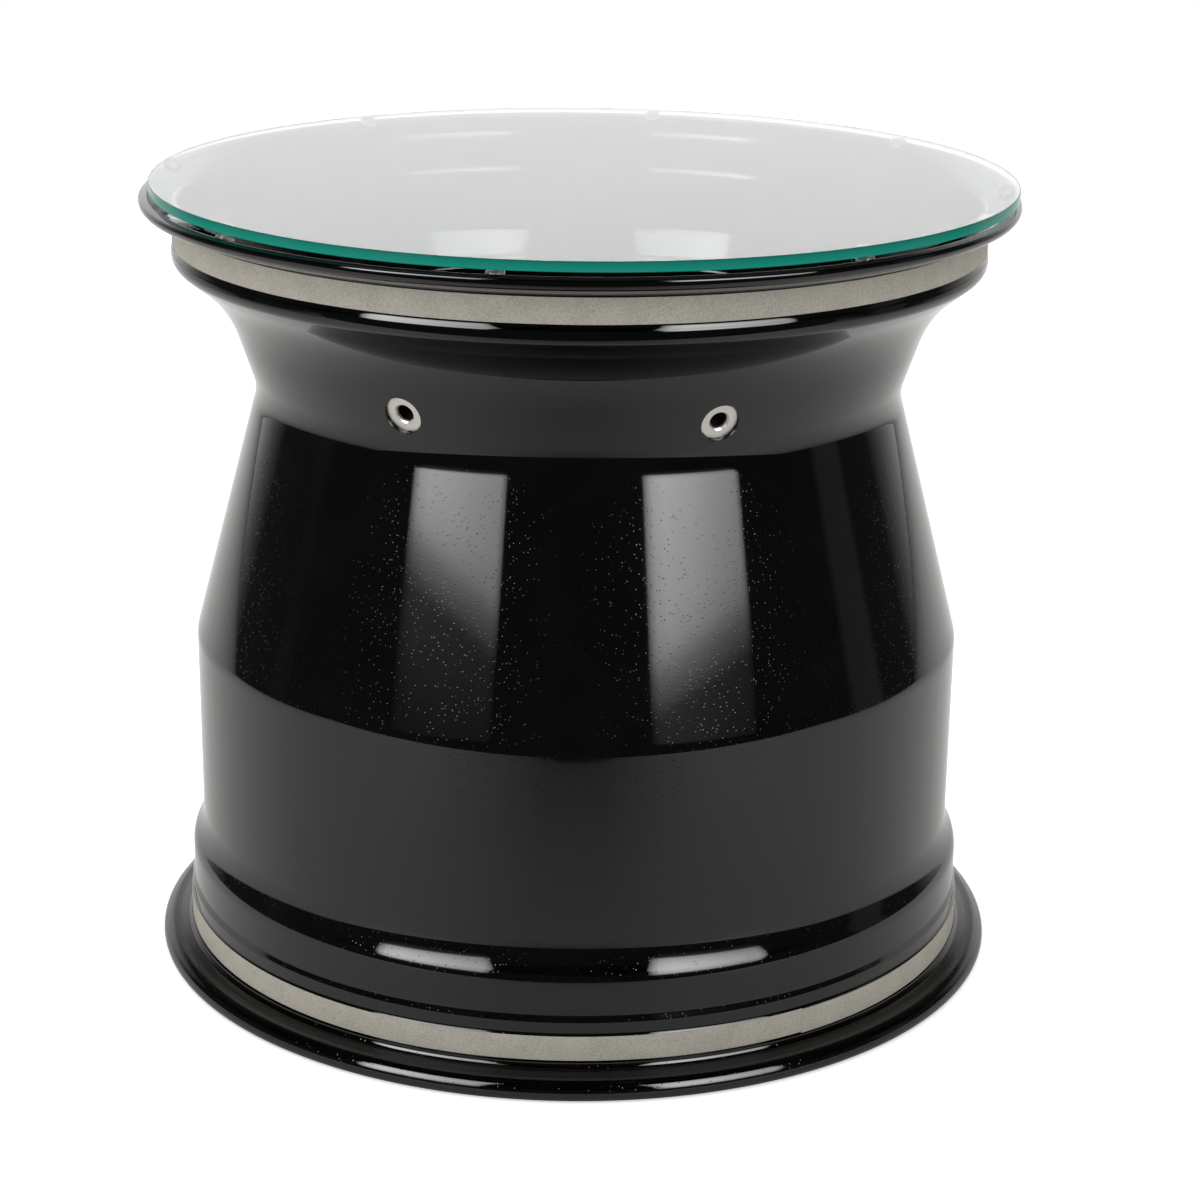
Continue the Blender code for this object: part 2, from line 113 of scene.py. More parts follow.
# Grit strips on the bead seats, each wound once in a shallow groove
BAND_THICKNESS = 0.6 * MM
BAND_SEAM_GAP = 0.1 * MM
BAND_EDGE_ROUND = 0.2 * MM
BAND_WANDER = 0.06 * MM
BAND_WANDER_WAVES = 40
BAND_WANDER_SEED = 7.0
UPPER_BAND_INSET = 9.4 * MM
UPPER_BAND_WIDTH = 10.0 * MM
UPPER_BAND_SEAM = 321.9
UPPER_BAND_SINK = 0.4 * MM
UPPER_BAND_DRIFT = 0.05 * MM
LOWER_BAND_INSET = 11.6 * MM
LOWER_BAND_WIDTH = 10.2 * MM
LOWER_BAND_RISE = 0.9 * MM
LOWER_BAND_SEAM = 303.0
LOWER_BAND_DRIFT = 0.55 * MM

# Valve holes with their spot faces, square to the flare
VALVE_RISE = 14.4 * MM
VALVE_HOLE_RADIUS = 3.5 * MM
VALVE_CHAMFER = 0.6 * MM
VALVE_FACE_RADIUS = 7.6 * MM
VALVE_FACE_SINK = 1.5 * MM
VALVE_EDGE = 0.25 * MM
VALVE_BARE_DEPTH = 1.0 * MM
VALVE_CUT_LENGTH = 16.0 * MM

# Spoked centre, whose feet sit on a land inside the waist
SPOKES = 7
SPOKE_WIDTH = 22.0 * MM
FIRST_SPOKE_ANGLE = 267.0
LAND_WALL = 5.0 * MM
LAND_HEIGHT = 26.0 * MM
FOOT_HEIGHT = 22.0 * MM
FOOT_LENGTH = 9.0 * MM
HUB_DROP = 4.0 * MM
HUB_THICKNESS = 32.0 * MM
HUB_WALL = 4.7 * MM
HUB_ROUND = 3.0 * MM
WEB_STEP = 1.5 * MM
WEB_UNDERCUT = 8.0 * MM
WEB_ROUND = 8.0 * MM
WINDOW_MARGIN = 4.0 * MM
WINDOW_ROUND = 9.0 * MM
EDGE_ROUND = 1.2 * MM

# Pieces in the hub
BORE_RADIUS = 29.0 * MM
NUT_SEAT_WALL = 11.0 * MM
NUT_SEAT_DEPTH = 12.0 * MM
NUT_SEAT_LIP = 2.5 * MM
BUSH_RADIUS = 8.0 * MM
BUSH_BORE_RADIUS = 5.5 * MM
BUSH_RECESS = 0.8 * MM
STEEL_EDGE = 0.6 * MM

# Glass plate and its pads
GLASS_INSET = 2.5 * MM
GLASS_THICKNESS = 4.0 * MM
GLASS_ARRIS = 0.35 * MM
GLASS_SHIFT = 1.6 * MM
GLASS_FLAT_NORMAL = 0.9
PAD_RADIUS = 3.6 * MM
PAD_TOP_RADIUS = 1.6 * MM
PAD_THICKNESS = 1.0 * MM
PAD_INSET = 6.2 * MM
PAD_DOME_STEPS = 6
PAD_FOOT_STEPS = 5
PAD_ANGLES = (356, 36, 79, 124, 170, 220, 260, 307)

# Fineness of the facets
ARC_STEP = math.radians(4)
ARC_SUPPORT = 0.5 * MM
RIM_SEGMENTS = 256
SMALL_SEGMENTS = 48
SHARP_ANGLE = math.radians(32)

# Finishes: sizes of their bumps, and how light bends in them
PEEL_HEIGHT = 0.008 * MM
NIB_HEIGHT = 0.045 * MM
NIB_SCALE = 720.0
MARK_HEIGHT = 0.12 * MM
MARK_MARGIN = 4.0 * MM
MARK_FADE = 1.0 * MM
SPOT_FACE_MARK_HEIGHT = 0.05 * MM
GRAIN_HEIGHT = 0.12 * MM
PAINT_IOR = 1.47
GLASS_IOR = 1.52
SILICONE_IOR = 1.41

# Camera, as fitted to the photo
CAMERA_PLACE = Vector((0.0, -1.1973, 0.5356))
CAMERA_PITCH = 0.3158
CAMERA_PAN = 0.0082
CAMERA_ROLL = 0.0121
CAMERA_LENS = 89.28
CAMERA_SENSOR = 36.0

# Studio: white paper under the table and two tall soft boxes that lean over it from the front
PAPER_FRONT = -0.49
PAPER_BACK = 3.0
PAPER_HALF_WIDTH = 1.42
# The paper carries painted shade towards its sides and a painted shadow in front of the table.
PAPER_WHITE_HALF_WIDTH = 0.7
PAPER_GLOW = 0.5
PAPER_SHADE = 0.35
PAPER_SHADE_BACK = -0.19
PAPER_SHADE_INNER = 0.05
PAPER_SHADE_OUTER = 0.3
SOFT_BOX_DISTANCE = 1.0
SOFT_BOX_LEAN = 38.0
SOFT_BOX_BOTTOM = -0.98
SOFT_BOX_TOP = 0.28
SOFT_BOX_INNER_HALF = 0.43
SOFT_BOX_OUTER_HALF = 0.415
SOFT_BOX_INNER_SLANT = 0.17
SOFT_BOX_OUTER_SLANT = 0.081
SOFT_BOX_ROWS = 12
LEFT_BOX_AZIMUTH = -37.5
LEFT_BOX_HEIGHT = 0.994
LEFT_BOX_ROLL = 0.0
LEFT_BOX_STRENGTH = 15.5
RIGHT_BOX_AZIMUTH = 36.0
RIGHT_BOX_HEIGHT = 0.942
RIGHT_BOX_ROLL = -1.0
RIGHT_BOX_STRENGTH = 14.3
ROOM_DARK = 0.05
ROOM_BACKDROP = 1.2
CEILING_LOW = 0.34
CEILING_HIGH = 0.48
LIGHT_COLOUR = (1.0, 0.99, 0.975, 1.0)
BRIGHT_SIDE = (-0.77, 0.64, 0.0)
BRIGHT_LIGHT = 1.47
DIM_LIGHT = 0.74

# Values that follow from those above
HEIGHT = RIM_WIDTH + 2 * FLANGE_THICKNESS
FLANGE_RADIUS = SEAT_RADIUS + FLANGE_RISE
LOWER_MOUTH_RADIUS = FLANGE_RADIUS - LOWER_FACE_WIDTH
GROOVE_RADIUS = SEAT_RADIUS - BAND_THICKNESS - CLEARANCE
UPPER_BAND_TOP = HEIGHT - UPPER_BAND_INSET
NECK_RADIUS = SEAT_RADIUS - NECK_DROP
NECK_HEIGHT = HEIGHT - NECK_DEPTH
LAND_RADIUS = NECK_RADIUS - LAND_WALL
FOOT_RADIUS = LAND_RADIUS - TOUCH
FOOT_INNER_RADIUS = LAND_RADIUS - CLEARANCE - FOOT_LENGTH
NUT_POCKET_RADIUS = BORE_RADIUS + NUT_SEAT_WALL
BUSH_HOLE_RADIUS = BUSH_RADIUS + TOUCH
DRIVE_CIRCLE_RADIUS = NUT_POCKET_RADIUS + HUB_WALL + BUSH_RADIUS + CLEARANCE
HUB_RADIUS = DRIVE_CIRCLE_RADIUS + BUSH_RADIUS + CLEARANCE + HUB_WALL
HUB_TOP = NECK_HEIGHT - HUB_DROP
HUB_BOTTOM = HUB_TOP - HUB_THICKNESS
PITCH = 2 * math.pi / SPOKES
GLASS_BOTTOM = HEIGHT + PAD_THICKNESS + 2 * CLEARANCE
GLASS_TOP = GLASS_BOTTOM + GLASS_THICKNESS
GLASS_RADIUS = FLANGE_RADIUS - GLASS_INSET


def line_cross(a, b, c, d):
    """The point where the line through a and b meets the line through c and d."""
    along = b - a
    across = d - c
    share = (c - a).cross(across) / along.cross(across)
    return a + along * share


def inset(path, wall):
    """A path moved sideways by wall, to the right of its direction."""
    moved = []
    for start, end in zip(path, path[1:]):
        along = (end - start).normalized()
        shift = Vector((along.y, -along.x)) * wall
        moved.append((start + shift, end + shift))
    middle = [line_cross(*one, *two) for one, two in zip(moved, moved[1:])]
    return [moved[0][0], *middle, moved[-1][1]]


def corner_reach(before, corner, after, radius):
    """How far from the corner its arc begins."""
    opening = (before - corner).angle(after - corner)
    return radius / math.tan(opening / 2)


def corner_arc(before, corner, after, radius):
    """Points of the arc that rounds a corner."""
    to_before = (before - corner).normalized()
    to_after = (after - corner).normalized()
    opening = to_before.angle(to_after)
    turn = math.pi - opening
    reach = corner_reach(before, corner, after, radius)
    centre = corner + (to_before + to_after).normalized() * (radius / math.sin(opening / 2))
    first = corner + to_before * reach - centre
    side = math.copysign(1.0, (corner - before).cross(after - corner))
    steps = max(2, math.ceil(turn / ARC_STEP))
    points = []
    for step in range(steps + 1):
        spun = Matrix.Rotation(side * turn * step / steps, 2) @ first
        points.append(centre + spun)
    return points


def rounded(corners):
    """A closed outline from (x, y, round) corners, with points near the ends of straight stretches."""
    places = [Vector(corner[:2]) for corner in corners]
    radii = [corner[2] for corner in corners]
    befores = places[-1:] + places[:-1]
    afters = places[1:] + places[:1]
    reaches = [corner_reach(*turn) for turn in zip(befores, places, afters, radii)]
    outline = []
    for index, place in enumerate(places):
        after = afters[index]
        if radii[index] > 0:
            outline.extend(corner_arc(befores[index], place, after, radii[index]))
        else:
            outline.append(place)
        reach = reaches[index]
        next_reach = reaches[(index + 1) % len(places)]
        along = after - place
        if along.length - reach - next_reach > 3 * ARC_SUPPORT:
            along.normalize()
            outline.append(place + along * (reach + ARC_SUPPORT))
            outline.append(after - along * (next_reach + ARC_SUPPORT))
    return outline


def around(angle, radius, height):
    return Vector((radius * math.cos(angle), radius * math.sin(angle), height))


def mesh_from(form, name):
    """A mesh from a bmesh, with even normals and with its real edges kept sharp."""
    bmesh.ops.recalc_face_normals(form, faces=form.faces)
    mesh = bpy.data.meshes.new(name)
    form.to_mesh(mesh)
    form.free()
    mesh.shade_smooth()
    mesh.set_sharp_from_angle(angle=SHARP_ANGLE)
    return mesh


def lathe_mesh(name, outline, segments, closed=True):
    """A solid turned about Z from (radius, height) points. An open outline starts and ends on Z."""
    form = bmesh.new()
    columns = []
    for point in outline:
        if point[0] < TOUCH:
            columns.append([form.verts.new((0.0, 0.0, point[1]))] * segments)
            continue
        ring = []
        for step in range(segments):
            ring.append(form.verts.new(around(2 * math.pi * step / segments, point[0], point[1])))
        columns.append(ring)
    pairs = list(zip(columns, columns[1:]))
    if closed:
        pairs.append((columns[-1], columns[0]))
    for upper, lower in pairs:
        for step in range(segments):
            following = (step + 1) % segments
            loop = [upper[step], lower[step], lower[following], upper[following]]
            form.faces.new(list(dict.fromkeys(loop)))
    return mesh_from(form, name)


def add_object(name, mesh, finish=None):
    obj = bpy.data.objects.new(name, mesh)
    bpy.context.scene.collection.objects.link(obj)
    if finish:
        mesh.materials.append(finish)
    return obj


def dress(obj, body, node):
    """Hands a finished piece to the frame in place of its CAD node."""
    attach(obj, body)
    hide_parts(node)


def carve(obj, cutters):
    """Takes the cutters out of obj for good."""
    for cutter in cutters:
        modifier = obj.modifiers.new("cut_" + cutter.name, "BOOLEAN")
        modifier.operation = "DIFFERENCE"
        modifier.solver = "EXACT"
        modifier.object = cutter
    graph = bpy.context.evaluated_depsgraph_get()
    carved = bpy.data.meshes.new_from_object(obj.evaluated_get(graph))
    obj.modifiers.clear()
    obj.data = carved
    for cutter in cutters:
        bpy.data.objects.remove(cutter, do_unlink=True)
    carved.shade_smooth()
    carved.set_sharp_from_angle(angle=SHARP_ANGLE)


def new_material(name):
    made = bpy.data.materials.new(name)
    made.use_nodes = True
    return made, made.node_tree, made.node_tree.nodes["Principled BSDF"]


def object_coordinates(tree):
    return tree.nodes.new("ShaderNodeTexCoord").outputs["Object"]


def noise_texture(tree, vector, scale, detail=2.0, roughness=0.5):
    texture = tree.nodes.new("ShaderNodeTexNoise")
    texture.inputs["Scale"].default_value = scale
    texture.inputs["Detail"].default_value = detail
    texture.inputs["Roughness"].default_value = roughness
    tree.links.new(vector, texture.inputs["Vector"])
    return texture.outputs["Fac"]


def colour_ramp(tree, factor, *stops):
    """A ramp through (position, colour) stops."""
    node = tree.nodes.new("ShaderNodeValToRGB")
    elements = node.color_ramp.elements
    while len(elements) < len(stops):
        elements.new(0.5)
    for element, (position, colour) in zip(elements, stops):
        element.position = position
        element.color = (*colour, 1.0)
    tree.links.new(factor, node.inputs["Fac"])
    return node.outputs["Color"]


def grey(value):
    return (value, value, value)


def map_range(tree, value, source, target):
    """The value, with the (low, high) range of source moved onto that of target."""
    node = tree.nodes.new("ShaderNodeMapRange")
    node.inputs["From Min"].default_value, node.inputs["From Max"].default_value = source
    node.inputs["To Min"].default_value, node.inputs["To Max"].default_value = target
    tree.links.new(value, node.inputs["Value"])
    return node.outputs["Result"]


def multiply(tree, one, two):
    node = tree.nodes.new("ShaderNodeMath")
    node.operation = "MULTIPLY"
    tree.links.new(one, node.inputs[0])
    tree.links.new(two, node.inputs[1])
    return node.outputs["Value"]


def bump(tree, height, strength, distance, below=None):
    node = tree.nodes.new("ShaderNodeBump")
    node.inputs["Strength"].default_value = strength
    node.inputs["Distance"].default_value = distance
    tree.links.new(height, node.inputs["Height"])
    if below:
        tree.links.new(below, node.inputs["Normal"])
    return node.outputs["Normal"]


def distance_from_axis(tree, place):
    flat = tree.nodes.new("ShaderNodeVectorMath")
    flat.operation = "MULTIPLY"
    flat.inputs[1].default_value = (1.0, 1.0, 0.0)
    tree.links.new(place, flat.inputs[0])
    length = tree.nodes.new("ShaderNodeVectorMath")
    length.operation = "LENGTH"
    tree.links.new(flat.outputs["Vector"], length.inputs[0])
    return length.outputs["Value"]


def ring_noise(tree, length, scale):
    """Noise that only changes with the distance from an axis, as tool marks do."""
    rings = tree.nodes.new("ShaderNodeTexNoise")
    rings.noise_dimensions = "1D"
    rings.inputs["Scale"].default_value = scale
    tree.links.new(length, rings.inputs["W"])
    return rings.outputs["Fac"]


def turning_marks(tree, place, parts):
    """Heights of fine rings round the lower flange, inside its lip."""
    length = distance_from_axis(tree, place)
    rings = ring_noise(tree, length, scale=1400.0)
    root = LOWER_ROOT_HEIGHT
    low = map_range(tree, parts.outputs["Z"], (root, root + MARK_FADE), (1.0, 0.0))
    edge = FLANGE_RADIUS - MARK_MARGIN
    inside_lip = map_range(tree, length, (edge, edge + MARK_FADE), (1.0, 0.0))
    return multiply(tree, rings, multiply(tree, low, inside_lip))


def black_paint():
    """Gloss black paint with a slight orange peel, and with dust nibs below the waist."""
    made, tree, shader = new_material("gloss_black_paint")
    place = object_coordinates(tree)
    cloud = noise_texture(tree, place, scale=40.0, detail=3.0)
    colour = colour_ramp(tree, cloud, (0.3, (0.0012, 0.0012, 0.0013)), (0.7, (0.0026, 0.0025, 0.0025)))
    tree.links.new(colour, shader.inputs["Base Color"])
    tree.links.new(map_range(tree, cloud, (0.3, 0.7), (0.025, 0.05)), shader.inputs["Roughness"])
    shader.inputs["IOR"].default_value = PAINT_IOR
    peel = noise_texture(tree, place, scale=420.0, detail=1.0)
    nibs = tree.nodes.new("ShaderNodeTexVoronoi")
    nibs.inputs["Scale"].default_value = NIB_SCALE
    tree.links.new(place, nibs.inputs["Vector"])
    dot = map_range(tree, nibs.outputs["Distance"], (0.02, 0.25), (1.0, 0.0))
    dot.node.interpolation_type = "SMOOTHSTEP"
    chosen = map_range(tree, nibs.outputs["Color"], (0.4, 0.6), (0.0, 1.0))
    parts = tree.nodes.new("ShaderNodeSeparateXYZ")
    tree.links.new(place, parts.inputs["Vector"])
    waist = (NECK_HEIGHT - NECK_ROUND, NECK_HEIGHT)
    below_waist = map_range(tree, parts.outputs["Z"], waist, (1.0, 0.0))
    height = multiply(tree, multiply(tree, dot, chosen), below_waist)
    under = bump(tree, peel, 0.3, PEEL_HEIGHT)
    turned = bump(tree, turning_marks(tree, place, parts), 1.0, MARK_HEIGHT, under)
    tree.links.new(bump(tree, height, 1.0, NIB_HEIGHT, turned), shader.inputs["Normal"])
    return made


def bare_alloy():
    """Machined spot face with turning marks and a ragged edge of paint, in coordinates of its own."""
    made, tree, shader = new_material("bare_alloy")
    place = tree.nodes.new("ShaderNodeUVMap")
    place.uv_map = "valve_face"
    length = tree.nodes.new("ShaderNodeVectorMath")
    length.operation = "LENGTH"
    tree.links.new(place.outputs["UV"], length.inputs[0])
    rings = ring_noise(tree, length.outputs["Value"], scale=24.0)
    metal = colour_ramp(tree, rings, (0.3, (0.5, 0.475, 0.44)), (0.7, (0.66, 0.64, 0.6)))
    ragged = noise_texture(tree, place.outputs["UV"], scale=4.0, detail=3.0)
    reach = tree.nodes.new("ShaderNodeMath")
    reach.operation = "MULTIPLY_ADD"
    tree.links.new(ragged, reach.inputs[0])
    reach.inputs[1].default_value = 0.16
    tree.links.new(length.outputs["Value"], reach.inputs[2])
    painted = map_range(tree, reach.outputs["Value"], (1.04, 1.06), (0.0, 1.0))
    mix = tree.nodes.new("ShaderNodeMix")
    mix.data_type = "RGBA"
    tree.links.new(painted, mix.inputs["Factor"])
    tree.links.new(metal, mix.inputs["A"])
    mix.inputs["B"].default_value = (0.004, 0.004, 0.004, 1.0)
    tree.links.new(mix.outputs["Result"], shader.inputs["Base Color"])
    tree.links.new(map_range(tree, painted, (0.0, 1.0), (0.85, 0.0)), shader.inputs["Metallic"])
    tree.links.new(map_range(tree, rings, (0.2, 0.8), (0.32, 0.48)), shader.inputs["Roughness"])
    tree.links.new(bump(tree, rings, 0.3, SPOT_FACE_MARK_HEIGHT), shader.inputs["Normal"])
    return made


def turned_steel():
    """Bare steel with turning marks about each piece's own axis."""
    made, tree, shader = new_material("turned_steel")
    rings = ring_noise(tree, distance_from_axis(tree, object_coordinates(tree)), scale=2500.0)
    colour = colour_ramp(tree, rings, (0.3, (0.42, 0.41, 0.4)), (0.7, (0.56, 0.55, 0.53)))
    tree.links.new(colour, shader.inputs["Base Color"])
    shader.inputs["Metallic"].default_value = 1.0
    tree.links.new(map_range(tree, rings, (0.2, 0.8), (0.25, 0.4)), shader.inputs["Roughness"])
    return made


def grit():
    """Sandy strip: warm grey grains in faintly lighter and darker patches."""
    made, tree, shader = new_material("sandy_grit")
    place = object_coordinates(tree)
    grains = noise_texture(tree, place, scale=1600.0, detail=3.0, roughness=0.7)
    patches = noise_texture(tree, place, scale=90.0, detail=4.0)
    light = colour_ramp(tree, grains, (0.3, (0.304, 0.288, 0.246)), (0.7, (0.507, 0.483, 0.423)))
    tone = colour_ramp(tree, patches, (0.3, grey(0.9)), (0.7, grey(1.02)))
    mix = tree.nodes.new("ShaderNodeMix")
    mix.data_type = "RGBA"
    mix.blend_type = "MULTIPLY"
    mix.inputs["Factor"].default_value = 1.0
    tree.links.new(light, mix.inputs["A"])
    tree.links.new(tone, mix.inputs["B"])
    tree.links.new(mix.outputs["Result"], shader.inputs["Base Color"])
    tree.links.new(map_range(tree, grains, (0.2, 0.8), (0.7, 0.95)), shader.inputs["Roughness"])
    shader.inputs["Specular IOR Level"].default_value = 0.3
    tree.links.new(bump(tree, grains, 0.5, GRAIN_HEIGHT), shader.inputs["Normal"])
    return made


def clear_glass():
    """Polished faces of the plate, with a trace of green and of smears."""
    made, tree, shader = new_material("clear_glass")
    smear = noise_texture(tree, object_coordinates(tree), scale=12.0, detail=4.0)
    colour = colour_ramp(tree, smear, (0.3, (0.93, 0.965, 0.955)), (0.7, (0.95, 0.98, 0.97)))
    tree.links.new(colour, shader.inputs["Base Color"])
    tree.links.new(map_range(tree, smear, (0.4, 0.8), (0.0, 0.012)), shader.inputs["Roughness"])
    shader.inputs["IOR"].default_value = GLASS_IOR
    shader.inputs["Transmission Weight"].default_value = 1.0
    return made


def glass_edge():
    """Ground and polished edge of the plate: deep green, with painted shade that darkens it towards the
    top, so it is lighter at its lower side; pale from within.
    """
    made, tree, shader = new_material("green_glass_edge")
    place = object_coordinates(tree)
    parts = tree.nodes.new("ShaderNodeSeparateXYZ")
    tree.links.new(place, parts.inputs["Vector"])
    # Painted shade: the edge's green darkens from its lower side up to the top.
    rise = map_range(tree, parts.outputs["Z"], (GLASS_BOTTOM, GLASS_TOP), (0.0, 1.0))
    colour = colour_ramp(
        tree,
        rise,
        (0.0, (0.012, 0.33, 0.25)),
        (0.2, (0.008, 0.27, 0.2)),
        (0.8, (0.005, 0.2, 0.15)),
        (1.0, (0.004, 0.13, 0.1)),
    )
    face = tree.nodes.new("ShaderNodeNewGeometry")
    mix = tree.nodes.new("ShaderNodeMix")
    mix.data_type = "RGBA"
    tree.links.new(face.outputs["Backfacing"], mix.inputs["Factor"])
    tree.links.new(colour, mix.inputs["A"])
    mix.inputs["B"].default_value = (0.66, 0.7, 0.69, 1.0)
    tree.links.new(mix.outputs["Result"], shader.inputs["Base Color"])
    cloud = noise_texture(tree, place, scale=60.0, detail=2.0)
    tree.links.new(map_range(tree, cloud, (0.3, 0.7), (0.12, 0.22)), shader.inputs["Roughness"])
    shader.inputs["Specular IOR Level"].default_value = 0.3
    return made


def clear_silicone():
    """Soft clear pads, a little cloudy."""
    made, tree, shader = new_material("clear_silicone")
    cloud = noise_texture(tree, object_coordinates(tree), scale=500.0, detail=2.0)
    colour = colour_ramp(tree, cloud, (0.3, (0.5, 0.51, 0.49)), (0.7, (0.62, 0.63, 0.61)))
    tree.links.new(colour, shader.inputs["Base Color"])
    tree.links.new(map_range(tree, cloud, (0.3, 0.7), (0.25, 0.4)), shader.inputs["Roughness"])
    shader.inputs["IOR"].default_value = SILICONE_IOR
    shader.inputs["Transmission Weight"].default_value = 0.95
    return made


def rim_skin():
    """Corners of the rim's outer line between its bead seats, from the top down, with their rounds."""
    return [
        (SEAT_RADIUS + UPPER_HUMP_RISE, HEIGHT - UPPER_HUMP_DEPTH, UPPER_HUMP_ROUND),
        (SEAT_RADIUS - FLARE_DROP, HEIGHT - FLARE_DEPTH, FLARE_ROUND),
        (NECK_RADIUS, NECK_HEIGHT, NECK_ROUND),
        (SEAT_RADIUS - SHOULDER_DROP, SHOULDER_HEIGHT, SHOULDER_ROUND),
        (SEAT_RADIUS - BARREL_DROP, BARREL_HEIGHT, BARREL_ROUND),
        (SEAT_RADIUS - LOWER_HUMP_DROP, LOWER_HUMP_HEIGHT, LOWER_HUMP_ROUND),
    ]


def upper_end_corners():
    """From the upper flange face down to the hump: lip, shelf, root, the strip's groove and the rise."""
    near = UPPER_BAND_TOP + TOUCH
    far = UPPER_BAND_TOP - UPPER_BAND_WIDTH - CLEARANCE - BARE_SEAT_WIDTH
    return [
        (FLANGE_RADIUS, HEIGHT - UPPER_EDGE_DEPTH, UPPER_EDGE_ROUND),
        (FLANGE_RADIUS, HEIGHT - UPPER_LIP_DEPTH, UPPER_LIP_ROUND),
        (FLANGE_RADIUS - UPPER_SHELF_DROP, HEIGHT - UPPER_SHELF_DEPTH, UPPER_SHELF_ROUND),
        (SEAT_RADIUS, HEIGHT - UPPER_ROOT_DEPTH, UPPER_ROOT_ROUND),
        (SEAT_RADIUS, near, 0),
        (GROOVE_RADIUS, near, 0),
        (GROOVE_RADIUS, far, 0),
        (SEAT_RADIUS + UPPER_HUMP_RISE, far - UPPER_HUMP_RUN, UPPER_HUMP_RUN_ROUND),
    ]


def lower_end_corners():
    """From the step below the hump down to the lower flange face: groove, root, shelf and lip."""
    near = LOWER_BAND_INSET - CLEARANCE
    far = LOWER_BAND_INSET + LOWER_BAND_WIDTH + CLEARANCE
    return [
        (SEAT_RADIUS - LOWER_HUMP_DROP, STEP_HEIGHT, 0),
        (SEAT_RADIUS - STEP_DROP, STEP_HEIGHT - STEP_RUN, 0),
        (SEAT_RADIUS - STEP_DROP, far + LOWER_BAND_RISE, 0),
        (SEAT_RADIUS - TOUCH, far, 0),
        (GROOVE_RADIUS, far, 0),
        (GROOVE_RADIUS, near, 0),
        (SEAT_RADIUS, near, 0),
        (SEAT_RADIUS, LOWER_ROOT_HEIGHT, LOWER_ROOT_ROUND),
        (FLANGE_RADIUS - LOWER_SHELF_DROP, LOWER_SHELF_HEIGHT, 0),
        (FLANGE_RADIUS, LOWER_LIP_HEIGHT, LOWER_LIP_ROUND),
        (FLANGE_RADIUS, 0.0, LOWER_EDGE_ROUND),
    ]


def rim_outer_corners():
    return upper_end_corners() + rim_skin() + lower_end_corners()


def rim_inner_corners():
    """The rim's inner line from the bottom up: the outer line moved in by the wall, with the land."""
    seat_inner = SEAT_RADIUS - RIM_WALL
    skin = [Vector(corner[:2]) for corner in rim_skin()]
    path = [Vector((SEAT_RADIUS, HEIGHT)), *skin, Vector((SEAT_RADIUS, 0.0))]
    hump, flare, neck, shoulder, barrel, lower_hump = inset(path, RIM_WALL)[1:-1]
    land_top = Vector((LAND_RADIUS, NECK_HEIGHT + LAND_HEIGHT / 2))
    land_bottom = Vector((LAND_RADIUS, NECK_HEIGHT - LAND_HEIGHT / 2))
    slope_up = Vector((1.0, 1.0))
    slope_down = Vector((1.0, -1.0))
    above = line_cross(land_top, land_top + slope_up, neck, flare)
    below = line_cross(land_bottom, land_bottom + slope_down, neck, shoulder)
    up_flare = (flare - neck).normalized()
    groove = neck + up_flare * INNER_GROOVE_RISE
    groove_floor = groove + Vector((up_flare.y, -up_flare.x)) * INNER_GROOVE_SINK
    groove_bottom = groove - up_flare * INNER_GROOVE_SINK
    groove_top = groove + up_flare * INNER_GROOVE_SINK
    return [
        (LOWER_MOUTH_RADIUS, 0.0, LOWER_MOUTH_ROUND),
        (seat_inner, LOWER_MOUTH_HEIGHT, 0),
        (lower_hump.x, lower_hump.y, LOWER_HUMP_ROUND),
        (barrel.x, barrel.y, BARREL_ROUND),
        (shoulder.x, shoulder.y, SHOULDER_ROUND),
        (below.x, below.y, 0),
        (land_bottom.x, land_bottom.y, 0),
        (land_top.x, land_top.y, 0),
        (above.x, above.y, 0),
        (groove_bottom.x, groove_bottom.y, 0),
        (groove_floor.x, groove_floor.y, 0),
        (groove_top.x, groove_top.y, 0),
        (flare.x, flare.y, FLARE_ROUND),
        (hump.x, hump.y, UPPER_INNER_ROUND),
        (seat_inner, HEIGHT - UPPER_MOUTH_DEPTH, UPPER_INNER_ROUND),
        (FLANGE_RADIUS - UPPER_CREST_INSET, HEIGHT, UPPER_CREST_ROUND),
    ]


def valve_places():
    """Matrices of the two valve holes: the origin on the flare, +Z along its outward direction."""
    flare = Vector((SEAT_RADIUS - FLARE_DROP, HEIGHT - FLARE_DEPTH))
    neck = Vector((NECK_RADIUS, NECK_HEIGHT))
    slope = (flare - neck).normalized()
    place = neck + slope * (VALVE_RISE / slope.y)
    first_spoke = math.radians(FIRST_SPOKE_ANGLE)
    found = []
    for side in (-1, 1):
        angle = first_spoke + side * PITCH / 2
        outward = around(angle, slope.y, -slope.x)
        turn = outward.to_track_quat("Z", "Y").to_matrix().to_4x4()
        found.append(Matrix.Translation(around(angle, place.x, place.y)) @ turn)
    return found


def valve_outline():
    """The spot face with its softened edge, the chamfer and the through hole in one stepped plug."""
    return [
        (0.0, VALVE_FACE_RADIUS),
        (VALVE_FACE_RADIUS + 3 * VALVE_EDGE, VALVE_FACE_RADIUS),
        (VALVE_FACE_RADIUS + 3 * VALVE_EDGE, VALVE_EDGE),
        (VALVE_FACE_RADIUS + VALVE_EDGE, 0.0),
        (VALVE_FACE_RADIUS + VALVE_EDGE / 3, -VALVE_EDGE),
        (VALVE_FACE_RADIUS, -2 * VALVE_EDGE),
        (VALVE_FACE_RADIUS, -VALVE_FACE_SINK),
        (VALVE_HOLE_RADIUS + VALVE_CHAMFER, -VALVE_FACE_SINK),
        (VALVE_HOLE_RADIUS, -VALVE_FACE_SINK - VALVE_CHAMFER),
        (VALVE_HOLE_RADIUS, -VALVE_FACE_SINK - VALVE_CHAMFER - VALVE_BARE_DEPTH),
        (VALVE_HOLE_RADIUS, -VALVE_CUT_LENGTH),
        (0.0, -VALVE_CUT_LENGTH),
    ]


